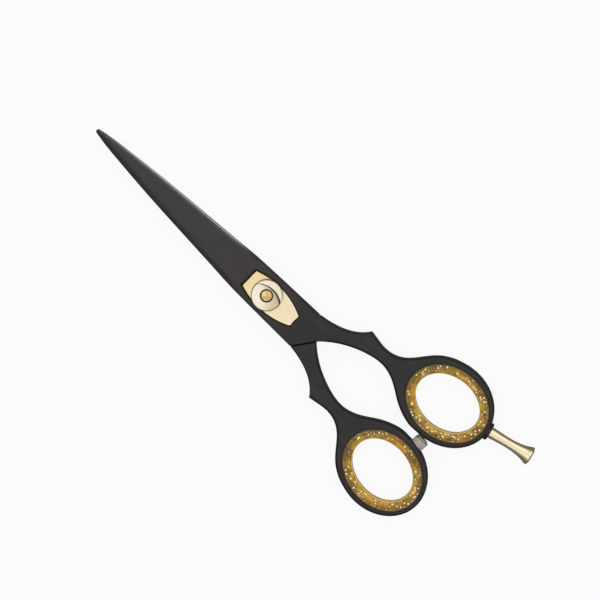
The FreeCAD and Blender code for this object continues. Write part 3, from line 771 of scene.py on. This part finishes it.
def rest_radius(sizes, share):
    """Radius of the rest at a share of its length: a waist between its base and its flare."""
    marks = ((0.0, sizes.rest_base), (0.38, sizes.rest_waist), (0.75, 1.27 * sizes.rest_waist),
             (1.0, sizes.rest_flare))
    total = 0.0
    for place, radius in marks:
        weight = 1.0
        for other, unused in marks:
            if other != place:
                weight *= (share - other) / (place - other)
        total += weight * radius
    return total


def rest_profile(sizes):
    """Rings of the rest: spigot, shoulder, trumpet, rounded rim and domed end."""
    long, edge, dome = sizes.rest_length, sizes.rest_rim, sizes.rest_dome
    base, spigot = sizes.rest_base, sizes.rest_spigot
    points = [(0.02 * MM, -sizes.rest_spigot_length), (spigot - 0.2 * MM, -sizes.rest_spigot_length),
              (spigot, -sizes.rest_spigot_length + 0.2 * MM), (spigot, 0.0), (base - 0.08 * MM, 0.0),
              (base, 0.08 * MM)]
    start = 1.0 - edge / long
    points += [(rest_radius(sizes, start * step / 30), long * start * step / 30) for step in range(1, 31)]
    outer = rest_radius(sizes, start)
    for step in range(1, 9):
        turn = math.radians(90.0 * step / 8)
        points.append((outer + 0.06 * MM * math.sin(2 * turn) - edge * (1 - math.cos(turn)),
                       long * start + edge * math.sin(turn)))
    face = points[-1][0]
    points += [(face * math.cos(math.radians(90.0 * step / 8)) + 0.02 * MM,
                long + dome * math.sin(math.radians(90.0 * step / 8))) for step in range(1, 9)]
    return [(radius, radius, height) for radius, height in points]


def slim(piece, share, start, blend):
    """Narrows a blade by a share of its width, from start towards the tip, easing in over a blend."""
    select_only(piece)
    bpy.ops.object.mode_set(mode="EDIT")
    bpy.ops.mesh.select_all(action="DESELECT")
    bpy.ops.object.mode_set(mode="OBJECT")
    for vertex in piece.data.vertices:
        vertex.select = vertex.co.x < start
    bpy.ops.object.mode_set(mode="EDIT")
    bpy.ops.transform.resize(value=(1.0, 1.0 - share, 1.0), center_override=(0.0, 0.0, MID_Z),
                             use_proportional_edit=True, proportional_edit_falloff="SMOOTH",
                             proportional_size=blend, use_proportional_connected=False)
    bpy.ops.object.mode_set(mode="OBJECT")


# ---- Operators -----------------------------------------------------------------------------------------
class SHEARS_OT_coat_halves(bpy.types.Operator):
    """Give both halves their black coating and bare inner faces"""
    bl_idname = "shears.coat_halves"
    bl_label = "Coat the Halves"

    def execute(self, context):
        coat = black_coat(context.scene.shears_colours, context.scene.shears_sizes)
        sizes = context.scene.shears_sizes
        for node in ("finger_blade", "thumb_blade"):
            piece = machined(node, node.replace("blade", "forging"))
            slim(piece, sizes.blade_slim, sizes.slim_start, sizes.slim_blend)
            smooth(piece)
            dress(piece, node, coat)
        return {"FINISHED"}


class SHEARS_OT_mould_inserts(bpy.types.Operator):
    """Mould the glitter inserts of both rings"""
    bl_idname = "shears.mould_inserts"
    bl_label = "Mould the Inserts"

    def execute(self, context):
        sizes = context.scene.shears_sizes
        resin = glitter_resin(context.scene.shears_colours, sizes,
                              *ring_axes("finger_ring_insert", sizes.ring_tilt))
        half = insert_profile(sizes)
        section = half + [(inset, -height) for inset, height in reversed(half)]
        for node, side in (("finger_ring_insert", 1), ("thumb_ring_insert", -1)):
            half_length, half_width, middle = ring_axes(node, sizes.ring_tilt)
            rings = [(half_length - inset, half_width - inset, height) for inset, height in section]
            piece = lathed(node.replace("ring_insert", "glitter_ring"), rings, sizes.ring_segments, True)
            settle(piece, middle, Matrix.Rotation(side * sizes.ring_tilt, 3, "Z").to_quaternion())
            smooth(piece, 50.0)
            dress(piece, node, resin)
        return {"FINISHED"}


class SHEARS_OT_press_plate(bpy.types.Operator):
    """Press the gold spring plate"""
    bl_idname = "shears.press_plate"
    bl_label = "Press the Spring Plate"

    def execute(self, context):
        look = context.scene.shears_colours
        gold = gold_finish("gold_satin_plate", look, 0.15, 0.0012, plate_tone, lengthwise_lines)
        plate = machined("spring_plate", "tension_plate", 0.12 * MM, 0.5 * MM)
        dress(plate, "spring_plate", gold)
        return {"FINISHED"}


class SHEARS_OT_turn_dial(bpy.types.Operator):
    """Turn the tension dial and its keeper"""
    bl_idname = "shears.turn_dial"
    bl_label = "Turn the Dial"

    def execute(self, context):
        sizes = context.scene.shears_sizes
        look = context.scene.shears_colours
        low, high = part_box("tension_dial")
        radius = (high.x - low.x) / 2
        tone = dial_tone(sizes, radius / MM)
        gold = gold_finish("gold_polish_dial", look, 0.1, 0.0012, tone, turned_lines)
        deep = gold_finish("gold_satin", look, 0.24, 0.08, keeper_tone, hammered)
        rim = high.z - sizes.dial_crown * (1 - (sizes.dial_well / radius) ** 2)
        piece = lathed("dial_knob", dial_profile(sizes, radius, low.z, rim), sizes.ring_segments, True)
        carve(piece, scoop_cutter(sizes, radius, low.z, rim))
        smooth(piece, 32.0)
        dress(piece, "tension_dial", gold)
        dress(machined("dial_keeper", "dial_pin"), "dial_keeper", deep)
        return {"FINISHED"}


class SHEARS_OT_turn_rest(bpy.types.Operator):
    """Turn the finger rest"""
    bl_idname = "shears.turn_rest"
    bl_label = "Turn the Finger Rest"

    def execute(self, context):
        sizes = context.scene.shears_sizes
        look = context.scene.shears_colours
        gold = gold_finish("gold_polish_rest", look, 0.05, 0.0012, plain_tone, lengthwise_lines)
        piece = lathed("little_finger_rest", rest_profile(sizes), sizes.rest_segments, False)
        joint = next(joint for joint in frame["joints"] if joint["name"] == "rest_turn")
        settle(piece, joint["pos_m"], Vector((0.0, 0.0, 1.0)).rotation_difference(Vector(joint["axis"])))
        smooth(piece, 40.0)
        dress(piece, "finger_rest", gold)
        return {"FINISHED"}


class SHEARS_OT_mould_bumper(bpy.types.Operator):
    """Mould the silicone bumper between the rings"""
    bl_idname = "shears.mould_bumper"
    bl_label = "Mould the Bumper"

    def execute(self, context):
        low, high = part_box("ring_bumper")
        top = Vector(((low.x + high.x) / 2, high.y, MID_Z))
        silicone = cloudy_silicone(context.scene.shears_colours, top, Vector((0.0, 1.0, 0.0)))
        dress(machined("ring_bumper", "soft_stop"), "ring_bumper", silicone)
        return {"FINISHED"}


class SHEARS_OT_fit_pivot(bpy.types.Operator):
    """Finish the stud, bush and washers of the pivot"""
    bl_idname = "shears.fit_pivot"
    bl_label = "Fit the Pivot"

    def execute(self, context):
        look = context.scene.shears_colours
        steel = turned_steel(look)
        slip = plain_plastic("slip_plastic", look.slip, 0.45)
        nylon = plain_plastic("nylon", look.nylon, 0.5)
        gold = gold_finish("gold_polish_stud", look, 0.15, 0.0012, plain_tone, turned_lines)
        dress(machined("pivot_stud", "stud"), "pivot_stud", gold)
        for node, material in (("dial_washer", steel), ("thrust_washer", slip), ("blade_washer", slip),
                               ("pivot_bush", nylon)):
            for place in frame["nodes"][node].material_slots:
                place.link = "OBJECT"
                place.material = material
        return {"FINISHED"}


class SHEARS_OT_set_studio(bpy.types.Operator):
    """Set the floor, the light and the camera"""
    bl_idname = "shears.set_studio"
    bl_label = "Set the Studio"

    def execute(self, context):
        studio = context.scene.shears_studio
        lay_floor(studio)
        hang_lamps(studio)
        light_room(context.scene, studio)
        stand_camera(context.scene, studio)
        context.scene.view_settings.view_transform = "Standard"
        return {"FINISHED"}


def lay_floor(studio):
    bpy.ops.mesh.primitive_circle_add(vertices=96, radius=7.0, fill_type="NGON",
                                      location=(0.0, 0.0, -0.1 * MM))
    floor = bpy.context.object
    floor.name = "floor"
    floor.data.materials.append(pale_floor(studio))


def hang_lamps(studio):
    """Two softboxes overhead with a gap between them, seen in reflections but not by the camera."""
    for side in (1, -1):
        across = studio.lamp_shift + side * (studio.lamp_gap + studio.lamp_width) / 2
        bpy.ops.object.light_add(type="AREA", location=(0.0, across, studio.lamp_height))
        lamp = bpy.context.object
        lamp.name = "softbox"
        lamp.data.shape = "RECTANGLE"
        lamp.data.size = studio.lamp_length
        lamp.data.size_y = studio.lamp_width
        lamp.data.energy = studio.lamp_level * math.pi * studio.lamp_length * studio.lamp_width
        lamp.visible_camera = False


def light_room(scene, studio):
    """Room that is pale overhead, a little brighter on one side, and darker towards the walls."""
    world = bpy.data.worlds.new("room")
    scene.world = world
    world.use_nodes = True
    nodes, links = world.node_tree.nodes, world.node_tree.links
    nodes.clear()
    direction = nodes.new("ShaderNodeTexCoord")
    split = nodes.new("ShaderNodeSeparateXYZ")
    lean = nodes.new("ShaderNodeVectorMath")
    lean.operation = "DOT_PRODUCT"
    lean.inputs[1].default_value = (-0.4 * studio.room_lean, studio.room_lean, 0.0)
    rise = nodes.new("ShaderNodeMapRange")
    rise.interpolation_type = "SMOOTHSTEP"
    overhead = nodes.new("ShaderNodeMath")
    overhead.operation = "ADD"
    overhead.inputs[1].default_value = studio.room_level
    light = nodes.new("ShaderNodeBackground")
    out = nodes.new("ShaderNodeOutputWorld")
    for name, value in (("From Min", 0.0), ("From Max", 0.3), ("To Min", studio.horizon)):
        rise.inputs[name].default_value = value
    light.inputs["Color"].default_value = (1.0, 1.0, 1.0, 1.0)
    links.new(direction.outputs["Generated"], split.inputs[0])
    links.new(direction.outputs["Generated"], lean.inputs[0])
    links.new(split.outputs["Z"], rise.inputs["Value"])
    links.new(lean.outputs["Value"], overhead.inputs[0])
    links.new(overhead.outputs[0], rise.inputs["To Max"])
    links.new(rise.outputs["Result"], light.inputs["Strength"])
    links.new(light.outputs[0], out.inputs["Surface"])


def stand_camera(scene, studio):
    bpy.ops.object.camera_add()
    camera = bpy.context.object
    camera.name = "camera"
    lean, heading = math.sin(studio.tilt), studio.heading
    back = Vector((lean * math.cos(heading), lean * math.sin(heading), math.cos(studio.tilt)))
    right = Vector((math.cos(studio.roll), math.sin(studio.roll), 0.0))
    up = back.cross(right).normalized()
    right = up.cross(back)
    turn = Matrix((right, up, back)).transposed().to_4x4()
    camera.matrix_world = Matrix.Translation(Vector(studio.view_centre) + back * studio.distance) @ turn
    camera.data.type = "PERSP"
    camera.data.lens = camera.data.sensor_width * studio.distance / studio.view_width
    camera.data.clip_start = 0.05
    camera.data.clip_end = 30.0
    scene.camera = camera


# ---- Panel and registration ----------------------------------------------------------------------------
PIECES = (SHEARS_OT_coat_halves, SHEARS_OT_mould_inserts, SHEARS_OT_press_plate, SHEARS_OT_turn_dial,
          SHEARS_OT_turn_rest, SHEARS_OT_mould_bumper, SHEARS_OT_fit_pivot, SHEARS_OT_set_studio)


class SHEARS_PT_dressing(bpy.types.Panel):
    """Lists the steps that dress the shears"""
    bl_idname = "SHEARS_PT_dressing"
    bl_label = "Shears"
    bl_space_type = "VIEW_3D"
    bl_region_type = "UI"
    bl_category = "Shears"

    def draw(self, context):
        for step in PIECES:
            self.layout.operator(step.bl_idname)
        for group in (context.scene.shears_sizes, context.scene.shears_colours, context.scene.shears_studio):
            box = self.layout.box()
            for name in group.bl_rna.properties.keys():
                if name not in ("rna_type", "name"):
                    box.prop(group, name)


CLASSES = (ShearsSizes, ShearsColours, StudioSettings) + PIECES + (SHEARS_PT_dressing,)


def register():
    for made in CLASSES:
        bpy.utils.register_class(made)
    bpy.types.Scene.shears_sizes = PointerProperty(type=ShearsSizes)
    bpy.types.Scene.shears_colours = PointerProperty(type=ShearsColours)
    bpy.types.Scene.shears_studio = PointerProperty(type=StudioSettings)


def unregister():
    del bpy.types.Scene.shears_studio
    del bpy.types.Scene.shears_colours
    del bpy.types.Scene.shears_sizes
    for made in reversed(CLASSES):
        bpy.utils.unregister_class(made)


def main():
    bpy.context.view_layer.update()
    register()
    for step in PIECES:
        group, name = step.bl_idname.split(".")
        getattr(getattr(bpy.ops, group), name)()


if __name__ == "__main__":
    main()
